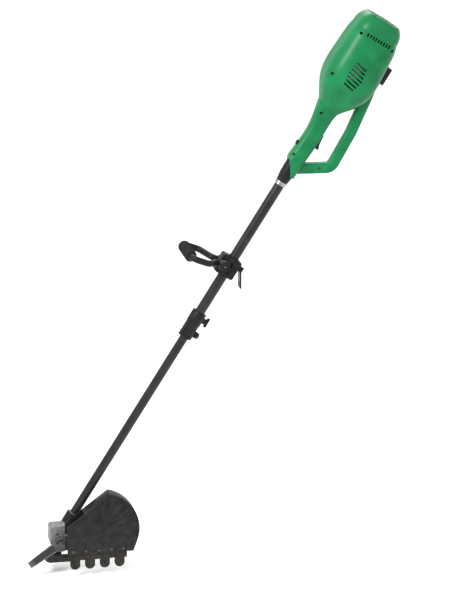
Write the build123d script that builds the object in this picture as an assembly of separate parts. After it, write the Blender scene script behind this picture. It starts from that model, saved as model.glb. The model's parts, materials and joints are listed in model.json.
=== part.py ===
from build123d import *
import os
from math import atan, cos, degrees, hypot, pi, radians, sin

# Electric lawn edger with its motor at the top end, a D-handle below the motor, a two-piece shaft
# and an edging head with a bar blade.
#
# Two working frames share one origin, where the shaft axis crosses the blade spindle's axis:
#   tool frame  X runs up the shaft towards the motor, Z is the side that faces forwards, Y is sideways
#   head frame  X points back towards the operator, Z is vertical, Y is sideways
# The row frame is the head frame, moved so that its origin lies under the middle of the whole tool's
# box. All sizes are millimetres.

shaft_lean = 57.5  # angle between the shaft and level ground

# Stations along the shaft, measured from the spindle axis
neck_start = 44.0
neck_end = 74.0
lower_tube_start = 46.0
coupling_start = 596.0
coupling_end = 668.0
tube_joint = 636.0  # where the two tubes meet inside the coupling
clamp_middle = 802.0
nose_start = 1048.0
nose_end = 1112.0
grip_start = 1068.0
motor_start = 1256.0
cap_seam = 1473.0
motor_end = 1512.0

# Tubes and drive shafts
upper_tube_radius = 12.5
lower_tube_radius = 11.0
tube_wall = 1.8
drive_radius = 4.0
running = 0.05  # radial clearance of a shaft in its bush
wall = 2.8  # moulded shells
bar_half_width = 12.0
bar_half_depth = 13.5

# Motor
stator_start = 1352.0
stator_end = 1408.0
stator_radius = 50.0
armature_radius = 24.0
rotor_radius = 5.0
fan_start = 1316.0
commutator_start = 1420.0
commutator_end = 1438.0
front_bearing = 1298.0
rear_bearing = 1448.0

# Trigger and lock button
trigger_pivot = (1203.0, -15.0)
lock_station = 1150.0

# Loop handle
pivot_rise = 21.0  # pivot bolt above the shaft axis
loop_lean = 11.0
loop_reach = 91.0  # pivot to the middle of the crossbar
loop_half_width = 62.0
loop_rod = 8.0

# Blade, spindle and guard
blade_radius = 95.0
blade_half_width = 12.0
blade_near = -41.0
blade_far = -38.0
blade_angle = 32.0  # below the horizontal, pointing forwards
spindle_radius = 6.0
case_radius = 24.0
case_near = -30.0
guard_near = -64.0
guard_far = -26.0
guard_wall = 2.6
guard_front = 12.0
guard_shoulder = 49.0
guard_bottom = -24.0
guard_middle = (98.0, 36.0)
guard_radius = 95.0
guard_tail = -20.0  # where round of the guard ends, degrees from level
flap_bottom = -64.0
flap_fingers = 4

# Bevel gears, on axes that meet at the origin
pinion_teeth = 12
gear_teeth = 17
bevel_module = 1.75
bevel_face = 6.0

# Depth skid
skid_level = -54.0
skid_travel = 24.0
skid_plate_near = 22.4
skid_plate_far = 25.4


# ------------------------------------------------------------------ shapes used again and again
def rod_x(radius, start, end, y=0.0, z=0.0):
    return Pos((start + end) / 2, y, z) * Rot(0, 90, 0) * Cylinder(radius, end - start)


def rod_y(radius, start, end, x=0.0, z=0.0):
    return Pos(x, (start + end) / 2, z) * Rot(90, 0, 0) * Cylinder(radius, end - start)


def rod_z(radius, start, end, x=0.0, y=0.0):
    return Pos(x, y, (start + end) / 2) * Cylinder(radius, end - start)


def ring_x(outer, inner, start, end):
    return rod_x(outer, start, end) - rod_x(inner, start - 1, end + 1)


def ring_y(outer, inner, start, end, x=0.0, z=0.0):
    return rod_y(outer, start, end, x, z) - rod_y(inner, start - 1, end + 1, x, z)


def block(x0, x1, y0, y1, z0, z1):
    return Pos((x0 + x1) / 2, (y0 + y1) / 2, (z0 + z1) / 2) * Box(x1 - x0, y1 - y0, z1 - z0)


def bar_y(half_x, half_z, near, far, x=0.0, z=0.0, corner=3.0):
    """A block with rounded corners, seen from the side, between two Y levels."""
    plane = Plane(origin=(x, near, z), x_dir=(1, 0, 0), z_dir=(0, 1, 0))
    return extrude(plane * RectangleRounded(2 * half_x, 2 * half_z, corner), far - near)


def hexagon_x(flats, start, end):
    plane = Plane(origin=(start, 0, 0), x_dir=(0, 1, 0), z_dir=(1, 0, 0))
    return extrude(plane * RegularPolygon(flats / 3**0.5, 6), end - start)


def screw_y(x, z, seat, tip, radius=2.0, head_radius=3.6, head=3.0):
    """A socket screw along Y; its head stands on the seat and its shank runs to the tip."""
    out = 1 if seat > tip else -1
    shank = rod_y(radius, min(seat, tip), max(seat, tip), x, z)
    top = rod_y(head_radius, min(seat, seat + out * head), max(seat, seat + out * head), x, z)
    low, high = sorted((seat + out * head * 0.45, seat + out * (head + 1)))
    return shank + top - rod_y(head_radius * 0.5, low, high, x, z)


def turned_x(profile):
    """A solid turned about the shaft from (station, radius) corners."""
    face = make_face(Polyline(*[(x, 0, r) for x, r in profile], close=True))
    return revolve(face, Axis.X, 360)


# ------------------------------------------------------------------ power head
motor_sections = [
    (motor_start, 22, 27, 0.0),
    (1287, 40, 45, -5.0),
    (1330, 60, 64, -5.0),
    (1385, 65, 66.5, -3.0),
    (1430, 62.5, 64, -2.0),
    (cap_seam, 56, 57.5, 0.0),
]
cap_sections = [(cap_seam, 56, 57.5, 0.0), (1496, 52, 53.5, 0.0), (motor_end, 41, 42.5, 0.0)]
cap_hollow = [(cap_seam - 1, 53.2, 54.7, 0.0), (1494, 49.2, 50.7, 0.0), (1509, 38.2, 39.7, 0.0)]
grip_sections = [
    (grip_start, 19.5, 20, 0.0),
    (1112, 20, 21.5, 0.0),
    (1146, 18.5, 21.5, -2.5),
    (1200, 18.5, 21.5, -3.5),
    (1240, 20, 25, 0.0),
    (motor_start + 8, 24, 30, 0.0),
]
bar_path = [(1079, 10), (1137, -87.5), (1235, -83), (1345, -67), (1395, -48)]
bar_bends = [22, 80, 120]
nose_profile = [(nose_start, 0), (nose_start, 14.4), (1066, 17.2), (1092, 18.2), (nose_end, 17)]
nose_profile.append((nose_end, 0))
grip_screws = [(1122, 16.0), (1122, -60.0), (1242, 14.0)]
shell_screws = grip_screws + [(1326, -70), (1341, 51.5), (1460, 45), (1460, -45)]
post_radius = 4.4


def across(x, half_y, half_z, middle_z, roundness=0.72):
    """A rounded rectangle across the shaft."""
    plane = Plane(origin=(x, 0, middle_z), x_dir=(0, 1, 0), z_dir=(1, 0, 0))
    return plane * RectangleRounded(2 * half_y, 2 * half_z, roundness * min(half_y, half_z))


def loft_along(sections, inset=0.0):
    return loft([across(x, hy - inset, hz - inset, cz) for x, hy, hz, cz in sections])


def finger_bar(inset=0.0):
    """The bar that closes the D-handle, from the nose round to the motor bay."""
    path = FilletPolyline(*[(x, 0, z) for x, z in bar_path], radius=bar_bends)
    plane = Plane(origin=path @ 0, x_dir=(0, 1, 0), z_dir=path % 0)
    size = (2 * (bar_half_width - inset), 2 * (bar_half_depth - inset))
    return sweep(plane * RectangleRounded(*size, 8 - inset), path)


def shaft_nose():
    return turned_x(nose_profile) - rod_x(upper_tube_radius, nose_start - 1, 1096)


def nose_bore(shape):
    return shape - rod_x(9, 1090, nose_end + 1)


def housing():
    """Both shells as one body, before they are parted down the middle of the tool."""
    outside = loft_along(motor_sections) + loft_along(grip_sections) + finger_bar()
    motor_bay = [(motor_start + 2, *motor_sections[0][1:])] + motor_sections[1:]
    grip_bay = [(nose_end + 0.5, *grip_sections[1][1:])] + grip_sections[2:]
    cavity = loft_along(motor_bay, wall) + loft_along(grip_bay, wall)
    body = outside - cavity
    for x, z in shell_screws:
        body += rod_y(post_radius, -60, 60, x, z) & outside
    body -= finger_bar(wall) & block(1136, 1300, -30, 30, -120, -60)
    body -= turned_x(nose_profile)
    # the green shells stop at an upright parting line beside the black nose
    beside = Pos(1079, 0, 0) * Rot(0, shaft_lean, 0) * Pos(-50, 0, 0) * Box(100, 80, 200)
    body -= beside & block(1000, 1130, -80, 80, -21, 40)
    pivot_boss = rod_y(4.6, 9, 17, *trigger_pivot) + rod_y(4.6, -17, -9, *trigger_pivot)
    body += pivot_boss & outside
    body -= rod_y(2.5 + running, -13.4, 13.4, *trigger_pivot)
    body -= block(1154, 1209, -6.2, 6.2, -32, -14)
    body -= rod_x(9, nose_end - 12, nose_end + 8)
    body -= rod_z(6.6, 10, 30, lock_station)
    body -= block(1372, 1420, -17, 17, -80, -50)
    for i in range(7):
        height = 44 - 4 * abs(i - 3)
        for side in (-1, 1):
            body -= Pos(1334 + 9.5 * i, side * 62, 4) * Rot(0, 12, 0) * Box(3.6, 30, height)
    for i in range(-4, 5):
        body -= Pos(cap_seam - 8, 0, 7.6 * i) * Box(9, 140, 4.2)
    for x, z in shell_screws:
        body -= rod_y(2.0, -61, 40, x, z) + rod_y(3.6, -61, screw_seat(x, z) + 0.05, x, z)
    return body


def screw_seat(x, z):
    """How deep a shell screw's head stands in its post."""
    return -9.0 if abs(z) > 55 or x < 1250 else -30.0


def shell(body, side):
    half = block(1000, 1560, min(0, side * 100), max(0, side * 100), -140, 120)
    return body & half


def shell_screw_set():
    """Screws down the posts, sunk in the left shell."""
    screws = []
    for x, z in shell_screws:
        seat = screw_seat(x, z)
        screws.append(rod_y(2.0, seat, 9, x, z) + rod_y(3.4, seat - 2.4, seat, x, z))
    return screws


def end_cap():
    """Vented cap, with slots across its face."""
    body = loft_along(cap_sections) - loft_along(cap_hollow)
    for i in range(-4, 5):
        body -= Pos(motor_end - 6, i * 8.6, 0) * Box(30, 4.0, 58 - 1.1 * i * i)
    for y, z in cap_screw_places:
        body += rod_x(5.6, cap_seam, motor_end - 3, y, z) & loft_along(cap_sections)
        body -= rod_x(2.0, cap_seam - 1, motor_end + 1, y, z)
        body -= rod_x(4.0, motor_end - 8, motor_end + 1, y, z)
    return body


cap_screw_places = [(y, z) for y in (-32, 32) for z in (-32, 32)]


def cap_screws():
    low = motor_end - 8
    one = rod_x(2.0, cap_seam, low) + rod_x(3.8, low, low + 2.6) - Pos(low + 2.6, 0, 0) * Box(2, 6, 1)
    return [Pos(0, y, z) * one for y, z in cap_screw_places]


def trigger():
    """Finger lever that turns about its two stub pins."""
    x, z = trigger_pivot
    blade = [(x - 1, -10), (x - 42, -13), (x - 44, -19), (x - 45, -35), (x - 30, -30), (x - 10, -28)]
    blade.append((x + 4, -22))
    face = make_face(Polyline(*[(a, -5.5, b) for a, b in blade], close=True))
    lever = extrude(face, 11, dir=(0, 1, 0))
    return lever + rod_y(2.5, -13, 13, x, z)


def trigger_spring():
    """Torsion coil round one stub pin."""
    x, z = trigger_pivot
    return ring_y(4.3, 2.9, -8.7, -5.8, x, z)


def lock_button():
    cap = rod_z(6.0, 13.0, 22.5, lock_station) + rod_z(8.0, 11.5, 15.0, lock_station)
    return cap + rod_z(3.0, 8.0, 12.0, lock_station)


def power_switch():
    return block(1166, 1196, 6.4, 14.6, -10, 6) + block(1170, 1192, 8, 12, 5, 9)


def mains_inlet():
    body = block(1374, 1418, -15, 15, -84, -54) - block(1378, 1414, -11.5, 11.5, -85, -64)
    return body + block(1370, 1422, -17.6, 17.6, -57, -54)


def inlet_pins():
    return [rod_z(2.0, -80, -64, 1387 + 18 * i) for i in (0, 1)]


def motor_bracket():
    plate = ring_x(31, 13.02, 1292, 1304)
    return plate + [Rot(a, 0, 0) * block(1296, 1302, -5, 5, 26, 37) for a in (0, 90, 180, 270)]


def stator_core():
    body = ring_x(stator_radius, 40, stator_start, stator_end)
    for side in (-1, 1):
        body += block(stator_start, stator_end, -22, 22, min(side * 22, side * 42), max(side * 22, side * 42))
    return body - rod_x(armature_radius + 1, stator_start - 1, stator_end + 1)


def field_windings():
    coils = []
    for side in (-1, 1):
        for start in (stator_start - 12, stator_end):
            coil = ring_x(38, 27, start, start + 12)
            keep = block(start, start + 12, -36, 36, min(side * 8, side * 40), max(side * 8, side * 40))
            coils.append(coil & keep)
    return coils


def rotor_shaft():
    return rod_x(rotor_radius, 1228, 1458)


def armature_core():
    body = ring_x(armature_radius, rotor_radius, stator_start, stator_end)
    slot = block(stator_start - 1, stator_end + 1, -1.2, 1.2, armature_radius - 6, armature_radius + 1)
    for i in range(12):
        body -= Rot(i * 30, 0, 0) * slot
    return body


def armature_winding():
    return [ring_x(20, rotor_radius, s, s + 11) for s in (stator_start - 11, stator_end)]


def commutator():
    body = ring_x(14, rotor_radius, commutator_start, commutator_end)
    slot = block(commutator_start + 4, commutator_end + 1, -0.5, 0.5, 12.4, 15)
    for i in range(24):
        body -= Rot(i * 15, 0, 0) * slot
    return body


def cooling_fan():
    body = ring_x(16, rotor_radius, fan_start, fan_start + 14) + ring_x(46, 10, fan_start, fan_start + 2)
    blade = Pos(fan_start + 7, 0, 30) * Rot(0, 0, 28) * Box(13, 1.8, 31)
    return body + [Rot(i * 40, 0, 0) * blade for i in range(9)]


def brush_holders():
    holder = block(1424, 1436, -6, 6, 18, 44) - block(1426, 1434, -4, 4, 17, 41)
    return [holder, Rot(180, 0, 0) * holder]


def carbon_brushes():
    brush = block(1426.1, 1433.9, -3.9, 3.9, 14.2, 34)
    return [brush, Rot(180, 0, 0) * brush]


def motor_bearings():
    bore = rotor_radius + running
    return [ring_x(13, bore, s, s + 8) for s in (front_bearing - 4, rear_bearing)]


def rear_cradle():
    """Ribbed cup across the motor bay that carries the rear bearing."""
    body = ring_x(17, 13.02, rear_bearing - 2, rear_bearing + 10)
    arms = [Rot(a, 0, 0) * block(rear_bearing, rear_bearing + 6, -4, 4, 16, 54) for a in (0, 90, 180, 270)]
    return body + arms


def collar_ring():
    return ring_x(14.4, upper_tube_radius, nose_start - 10, nose_start)


# ------------------------------------------------------------------ shafts
def tube(radius, start, end):
    return ring_x(radius, radius - tube_wall, start, end)


def upper_tube():
    return tube(upper_tube_radius, tube_joint, 1096)


def lower_tube():
    body = tube(lower_tube_radius, lower_tube_start, tube_joint)
    return body - rod_z(3.2, -13, -7, plunger_station)


def upper_drive_shaft():
    socket = hexagon_x(6.02, tube_joint - 21, tube_joint - 1)
    return rod_x(drive_radius, tube_joint + 5, 1228) + rod_x(6.5, tube_joint - 20, tube_joint + 5) - socket


def lower_drive_shaft():
    return rod_x(drive_radius, 48, tube_joint - 20.5) + hexagon_x(5.98, tube_joint - 20.5, tube_joint - 2)


def drive_bushes():
    inner = drive_radius + running
    lower = [ring_x(lower_tube_radius - tube_wall, inner, s, s + 16) for s in (120, 330, 540)]
    upper = [ring_x(upper_tube_radius - tube_wall, inner, s, s + 16) for s in (700, 900, 1066)]
    return lower + upper


# ------------------------------------------------------------------ loop handle
def clamp_front():
    x = clamp_middle
    body = bar_y(25, 16, -14.8, 14.8, x, 14, 5) - block(x - 30, x + 30, -20, 20, -10, 1)
    body += rod_y(11, -14.8, 14.8, x, pivot_rise)
    body -= rod_x(upper_tube_radius + running, x - 40, x + 40)
    return body - rod_y(3.0, -20, 20, x, pivot_rise) - clamp_screw_holes()


def clamp_back():
    x = clamp_middle
    body = bar_y(25, 10, -21.5, 21.5, x, -9.4, 5) - block(x - 30, x + 30, -24, 24, -1, 20)
    body -= rod_x(upper_tube_radius + running, x - 40, x + 40)
    lug = block(x + 2, x + 16, -16, -12, -32, -17) + block(x + 2, x + 16, 12, 16, -32, -17)
    return body + lug + rod_y(2.5, -16, 16, *strap_pin) - clamp_screw_holes()


clamp_screw_places = [(clamp_middle + a, b) for a in (-19, 19) for b in (-17.9, 17.9)]
strap_pin = (clamp_middle + 9, -27.0)


def clamp_ears(body):
    """Flanges beside the saddle, where the four clamp screws pass."""
    x = clamp_middle
    ears = block(x - 25, x - 13, -21.5, 21.5, 1, 9) + block(x + 13, x + 25, -21.5, 21.5, 1, 9)
    return body + (ears - rod_x(upper_tube_radius + running, x - 40, x + 40) - clamp_screw_holes())


def clamp_screw_holes():
    holes = [rod_z(1.75, -17, 12, x, y) for x, y in clamp_screw_places]
    return holes[0] + holes[1:]


def clamp_screws():
    one = rod_z(1.75, -15, 9) + rod_z(2.9, 9, 11.4) - rod_z(1.5, 10.2, 12)
    return [Pos(x, y, 0) * one for x, y in clamp_screw_places]


def handle_bolt():
    x = clamp_middle
    return rod_y(3.0, -44, 24.2, x, pivot_rise) + rod_y(6.5, 24.2, 28.5, x, pivot_rise)


def handle_knob():
    """Lobed hand knob on the near end of the bolt."""
    x = clamp_middle
    body = rod_y(14, -43, -29.4, x, pivot_rise) + rod_y(8, -29.4, -24.3, x, pivot_rise)
    for i in range(6):
        body -= rod_y(4, -45, -29, x + 17 * cos(radians(60 * i)), pivot_rise + 17 * sin(radians(60 * i)))
    return body - rod_y(3.0 + running, -46, -24, x, pivot_rise)


def loop_frame():
    """Rod bent into a loop: two arms that spread from the ears to a crossbar."""
    w, r = loop_half_width, loop_reach
    arm = [(0, 19.6, 0), (0, 19.6, 20), (0, w, 46), (0, w, r)]
    points = [(x, -y, z) for x, y, z in arm] + arm[::-1]
    path = FilletPolyline(*points, radius=[16, 16, 20, 20, 16, 16])
    frame = sweep(Plane(origin=path @ 0, z_dir=path % 0) * Circle(loop_rod), path)
    ears = [rod_y(11.5, 15.1, 24, 0, 0), rod_y(11.5, -24, -15.1, 0, 0)]
    trim = block(-40, 40, -15.1, 15.1, -40, 40)
    trim += block(-40, 40, 24, 40, -40, 10) + block(-40, 40, -40, -24, -40, 10)
    frame = frame + ears - trim
    return frame - rod_y(3.0 + running, -60, 60)


def place_loop(shape):
    return Pos(clamp_middle, 0, pivot_rise) * Rot(0, -loop_lean, 0) * shape


def loop_grip():
    """Foam sleeve over the crossbar."""
    end = loop_half_width - 20
    return rod_y(15, -end, end, 0, loop_reach) - rod_y(loop_rod, -80, 80, 0, loop_reach)


def strap_eye():
    """Steel eye that hangs upright from the clamp's pin; head frame, with the pin at its origin."""
    plate = block(-2, 2, -11.6, 11.6, -50, 4) - rod_x(6.5, -3, 3, 0, -38)
    barrel = rod_y(5, -11.6, 11.6)
    return plate + barrel - rod_y(2.5 + running, -20, 20)


# ------------------------------------------------------------------ coupling
plunger_station = 612.0
coupling_knob_station = 652.0


def coupling_body():
    body = ring_x(17.5, lower_tube_radius, coupling_start, tube_joint)
    body += ring_x(18.5, upper_tube_radius, tube_joint, coupling_end)
    body += rod_z(8.5, -25, -12, plunger_station) - rod_x(lower_tube_radius, coupling_start, tube_joint)
    boss = rod_z(7.5, -22, -13, coupling_knob_station)
    body += boss - rod_x(upper_tube_radius, tube_joint - 2, coupling_end)
    body -= rod_z(3.2, -26, -10, plunger_station) + rod_z(5.4, -22.5, -12.6, plunger_station)
    return body - rod_z(3.0, -23, -12.3, coupling_knob_station)


def coupling_knob():
    """Winged knob whose screw bears on the upper tube."""
    body = rod_z(7.4, -27, -22.2, coupling_knob_station) + bar_wing()
    return body + rod_z(2.95, -23, -12.7, coupling_knob_station)


def bar_wing():
    return block(coupling_knob_station - 12, coupling_knob_station + 12, -3, 3, -33, -26.5)


def lock_plunger():
    pin = rod_z(3.15, -26, -9.6, plunger_station) + rod_z(5.2, -14.4, -13.0, plunger_station)
    return pin + rod_z(7.5, -30, -25.2, plunger_station)


def plunger_spring():
    return rod_z(5.0, -22.3, -14.6, plunger_station) - rod_z(3.6, -23, -14, plunger_station)


# ------------------------------------------------------------------ edging head
def gear_case():
    """Casting round the bevel gears, with a neck for the tube and an arm for the guard."""
    x0 = neck_start - 1
    body = rod_y(case_radius, -24, 21, 0, 0) + to_head(rod_x(17.5, 8, x0) + rod_x(14.2, x0, neck_end))
    body += block(8, 62, guard_far, -19.5, -14, 34) + bar_y(17.5, 20, -21, 18, -5.5, 17, 6)
    body -= rod_y(case_radius + 0.3, -40, -24)
    body -= rod_y(18.6, -25, 6) + to_head(rod_x(13.02, 8, 42.2) + rod_x(9.4, 40, 50))
    body -= to_head(rod_x(lower_tube_radius, lower_tube_start, neck_end + 1))
    body -= to_head(block(52, neck_end + 1, -1, 1, -20, 0))
    body -= rod_y(9.02, 5, 18.5)
    for x, z in guard_screw_places:
        body -= rod_y(2.0, -30, -18, x, z)
    body -= rod_y(3.0, 13, 22, 0, -15)
    return body - cover_screw_holes()


guard_screw_places = [(34.0, -6.0), (54.0, -6.0), (54.0, 26.0)]
cover_screw_angles = [200, 290, 20, 110]
cover_screw_circle = 21.3


def cover_places():
    c = cover_screw_circle
    return [(c * cos(radians(a)), c * sin(radians(a))) for a in cover_screw_angles]


def cover_screw_holes():
    holes = [rod_y(1.25, -25, -14, x, z) for x, z in cover_places()]
    return holes[0] + holes[1:]


def gear_cover():
    """Near side of the case, with the output bearing's seat."""
    body = rod_y(case_radius - 0.2, -26.4, -24) + rod_y(17.5, case_near, -15)
    body -= rod_y(14.02, -25.5, -14) + rod_y(spindle_radius + 0.6, case_near - 1, -14)
    for x, z in cover_places():
        body -= rod_y(1.25, -28, -20, x, z)
    return body


def cover_screws():
    return [screw_y(x, z, -26.4, -15, 1.25, 2.3, 2.0) for x, z in cover_places()]


def neck_clamp():
    """Black band that squeezes the split neck on the tube."""
    band = ring_x(17.4, 14.2, neck_start + 1, neck_end - 1)
    ears = block(50, 68, -9, -1, -24, -15) + block(50, 68, 1, 9, -24, -15)
    slit = block(neck_start, neck_end, -1, 1, -30, -12)
    return band + ears - slit - rod_y(2.0, -12, 12, 59, -20.5) - rod_x(14.2, 40, 80)


def neck_screw():
    return screw_y(59, -20.5, -9, 9, 2.0, 3.5, 3.0)


cone = hypot(pinion_teeth, gear_teeth) * bevel_module / 2


def bevel_wheel(teeth, mate, phase):
    """Straight bevel gear about Z with its apex at the origin and its wide end up."""
    pitch = atan(teeth / mate)
    rings = []
    for share in (1.0, 1 - bevel_face / cone):
        distance = cone * share
        module = bevel_module * share
        outer = distance * sin(pitch) + 0.74 * module * cos(pitch)
        root = distance * sin(pitch) - 1.45 * module * cos(pitch)
        height = distance * cos(pitch)
        rings.append((outer, root, height))
    (ro, rr, h1), (so, sr, h0) = rings
    solid = extrude_cone(so, ro, h0, h1)
    gap = 0.47 * 2 * pi / teeth  # half-angle of a tooth space at the tip
    low = 0.362 * 2 * pi / teeth  # and at the root
    for i in range(teeth):
        turn = degrees(2 * pi * (i + phase) / teeth)
        sections = []
        for outer, root, height in ((so, sr, h0 - 0.4), (ro, rr, h1 + 0.4)):
            corners = [(root, -low), (outer + 1, -gap), (outer + 1, gap), (root, low)]
            points = [(r * cos(a), r * sin(a), height) for r, a in corners]
            sections.append(make_face(Polyline(*points, close=True)))
        solid -= Rot(0, 0, turn) * loft(sections)
    return solid


def extrude_cone(low_radius, high_radius, low, high):
    return Pos(0, 0, (low + high) / 2) * Cone(low_radius, high_radius, high - low)


def drive_pinion():
    """Pinion and its shaft; tool frame."""
    pitch = atan(pinion_teeth / gear_teeth)
    heel = cone * cos(pitch)
    wheel = Rot(0, 90, 0) * bevel_wheel(pinion_teeth, gear_teeth, 0.5)
    wheel += rod_x(7, heel - 0.1, 18) + rod_x(rotor_radius, 17.9, 48)
    return wheel


def driven_gear():
    """Gear on the output spindle; its apex is at the origin and its heel faces -Y."""
    pitch = atan(gear_teeth / pinion_teeth)
    heel = cone * cos(pitch)
    phase = shaft_lean * gear_teeth / 360  # a space faces the pinion
    wheel = Rot(90, 0, 0) * bevel_wheel(gear_teeth, pinion_teeth, phase)
    wheel += rod_y(9.5, -heel - 3.2, -heel)
    return wheel - rod_y(spindle_radius, -30, 30)


def pinion_bearings():
    return [ring_x(13.0, rotor_radius + running, s, s + 8) for s in (20.5, 33)]


def output_spindle():
    return rod_y(spindle_radius, -54, 14.0)


def spindle_bearings():
    bore = spindle_radius + running
    return [ring_y(14, bore, -25.3, -17.3), ring_y(9.0, bore, 6.5, 14.5)]


def blade_flanges():
    inner = ring_y(17, spindle_radius, blade_far, -30.6) - ring_y(20, 12, -32.4, -30)
    outer = ring_y(20.5, spindle_radius, -45, blade_near) + ring_y(12, spindle_radius, -46.2, -45)
    return [inner, outer]


def edger_blade():
    """Flat bar with relieved corners and a round hole, in the head frame before it is turned."""
    r, w = blade_radius, blade_half_width
    half = [(r, -w + 6), (r, w - 1), (w + 12, w), (-w - 12, w)]
    corners = half + [(-x, -z) for x, z in half]
    face = make_face(Polyline(*[(x, blade_near, z) for x, z in corners], close=True))
    body = extrude(face, blade_far - blade_near, dir=(0, 1, 0))
    return Rot(0, 180 - blade_angle, 0) * (body - rod_y(spindle_radius, -60, 0))


def blade_nut():
    plane = Plane(origin=(0, -52.6, 0), x_dir=(1, 0, 0), z_dir=(0, 1, 0))
    return extrude(plane * RegularPolygon(10.5, 6), 6.4) - rod_y(spindle_radius, -60, 0)


def guard_outline():
    """Side view of the guard: front edge, long slope, round back and straight tail."""
    cx, cz = guard_middle
    start = 77.0
    tail = radians(guard_tail)
    first = (cx + guard_radius * cos(radians(start)), cz + guard_radius * sin(radians(start)))
    last = (cx + guard_radius * cos(tail), cz + guard_radius * sin(tail))
    middle = radians((start + guard_tail) / 2)
    through = (cx + guard_radius * cos(middle), cz + guard_radius * sin(middle))
    foot = last[0] + (guard_bottom - last[1]) * -sin(tail) / cos(tail)
    front = [(guard_front, guard_bottom), (guard_front, guard_shoulder)]
    edges = Polyline(last, (foot, guard_bottom), *front, first)
    return make_face(ThreePointArc(first, through, last) + edges)


def upright(face, near, far):
    """A face drawn in X and Z, extruded between two Y levels."""
    plane = Plane(origin=(0, far, 0), x_dir=(1, 0, 0), z_dir=(0, -1, 0))
    return extrude(plane * face, far - near)


def blade_guard():
    outline = guard_outline()
    inner = offset(outline, -guard_wall, kind=Kind.INTERSECTION)
    body = upright(outline, guard_near, guard_far)
    body -= upright(inner, guard_near + guard_wall, guard_far - guard_wall)
    # the front stays open as far as the blade swings, and so does the underside
    body -= rod_y(blade_radius + 3, guard_near + guard_wall, guard_far - guard_wall)
    body -= block(0, 168, guard_near + guard_wall, guard_far - guard_wall, -40, guard_bottom + 8)
    window = block(72, 240, guard_far - guard_wall - 0.01, guard_far + 1, -60, 160)
    body -= window & upright(inner, guard_near, guard_far + 2)
    body -= rod_y(25.5, guard_far - 5, guard_far + 1)
    for x, z in guard_screw_places:
        body -= rod_y(2.0, guard_far - 5, guard_far + 1, x, z)
    for x in rivet_places:
        body -= rod_y(1.6, guard_near - 1, guard_near + 5, x, guard_bottom + 8)
    return body


rivet_places = [26, 58, 90, 122, 152]


def guard_screws():
    return [screw_y(x, z, guard_far - guard_wall, -19.6, 2.0, 3.6, 2.6) for x, z in guard_screw_places]


def debris_flap():
    """Rubber skirt under the guard's near side, cut into fingers with round ends."""
    near, far = guard_near + guard_wall, guard_near + guard_wall + 3
    length = 148.0
    pitch = length / flap_fingers
    half = 12.5
    top, root = guard_bottom + 15, guard_bottom - 16
    body = block(guard_front + 1, guard_front + 1 + length, near, far, root, top)
    for i in range(flap_fingers):
        x = guard_front + 1 + pitch * (i + 0.5)
        body += block(x - half, x + half, near, far, flap_bottom + half, root + 1)
        body += rod_y(half, near, far, x, flap_bottom + half)
    for x in rivet_places:
        body -= rod_y(1.6, near - 1, far + 1, x, guard_bottom + 8)
    return body


def flap_strip():
    near = guard_near + guard_wall + 3
    body = block(guard_front + 4, 158, near, near + 1.5, guard_bottom + 3, guard_bottom + 13)
    for x in rivet_places:
        body -= rod_y(1.6, near - 1, near + 3, x, guard_bottom + 8)
    return body


def flap_rivets():
    inside = guard_near + guard_wall + 4.5
    z = guard_bottom + 8
    return [
        rod_y(1.6, guard_near - 0.9, inside + 0.9, x, z)
        + rod_y(3.2, guard_near - 0.9, guard_near, x, z)
        + rod_y(3.2, inside, inside + 0.9, x, z)
        for x in rivet_places
    ]


def depth_skid():
    """Slotted strap beside the case and a shoe under it."""
    low = skid_level
    strap = block(-11, 11, skid_plate_near, skid_plate_far, low, 4)
    strap -= block(-3.2, 3.2, skid_plate_near - 1, skid_plate_far + 1, -15 - 3.2, -15 + 3.2)
    slot_top = -15 + skid_travel
    strap += block(-11, 11, skid_plate_near, skid_plate_far, 3, slot_top + 8)
    strap -= block(-3.2, 3.2, skid_plate_near - 1, skid_plate_far + 1, -15, slot_top)
    strap -= rod_y(3.2, skid_plate_near - 1, skid_plate_far + 1, 0, slot_top)
    sole = block(-25, 25, -22, skid_plate_far, low - 3, low)
    sole += block(-25, 25, -22, -19, low, low + 16)
    sole += block(-25, -11, skid_plate_near, skid_plate_far, low, low + 16)
    turned_up = Rot(0, 25, 0) * Pos(-5, 0, -1.5) * Box(12, skid_plate_far + 22, 3)
    return strap + sole + Pos(-25, (skid_plate_far - 22) / 2, low) * turned_up


def skid_knob():
    """Hand knob with its screw into the case."""
    face = skid_plate_far
    body = rod_y(11, face + 0.6, face + 12, 0, -15) + rod_y(2.95, 13.5, face + 1, 0, -15)
    for i in range(5):
        a = radians(72 * i)
        body -= rod_y(3.2, face + 3, face + 13, 13 * cos(a), -15 + 13 * sin(a))
    return body


def to_head(shape):
    return Rot(0, -shaft_lean, 0) * shape


def group(shapes):
    return Compound(children=[s for shape in shapes for s in shape.solids()])


def strap_place():
    x, z = strap_pin
    lean = radians(shaft_lean)
    return (x * cos(lean) - z * sin(lean), x * sin(lean) + z * cos(lean))


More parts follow.
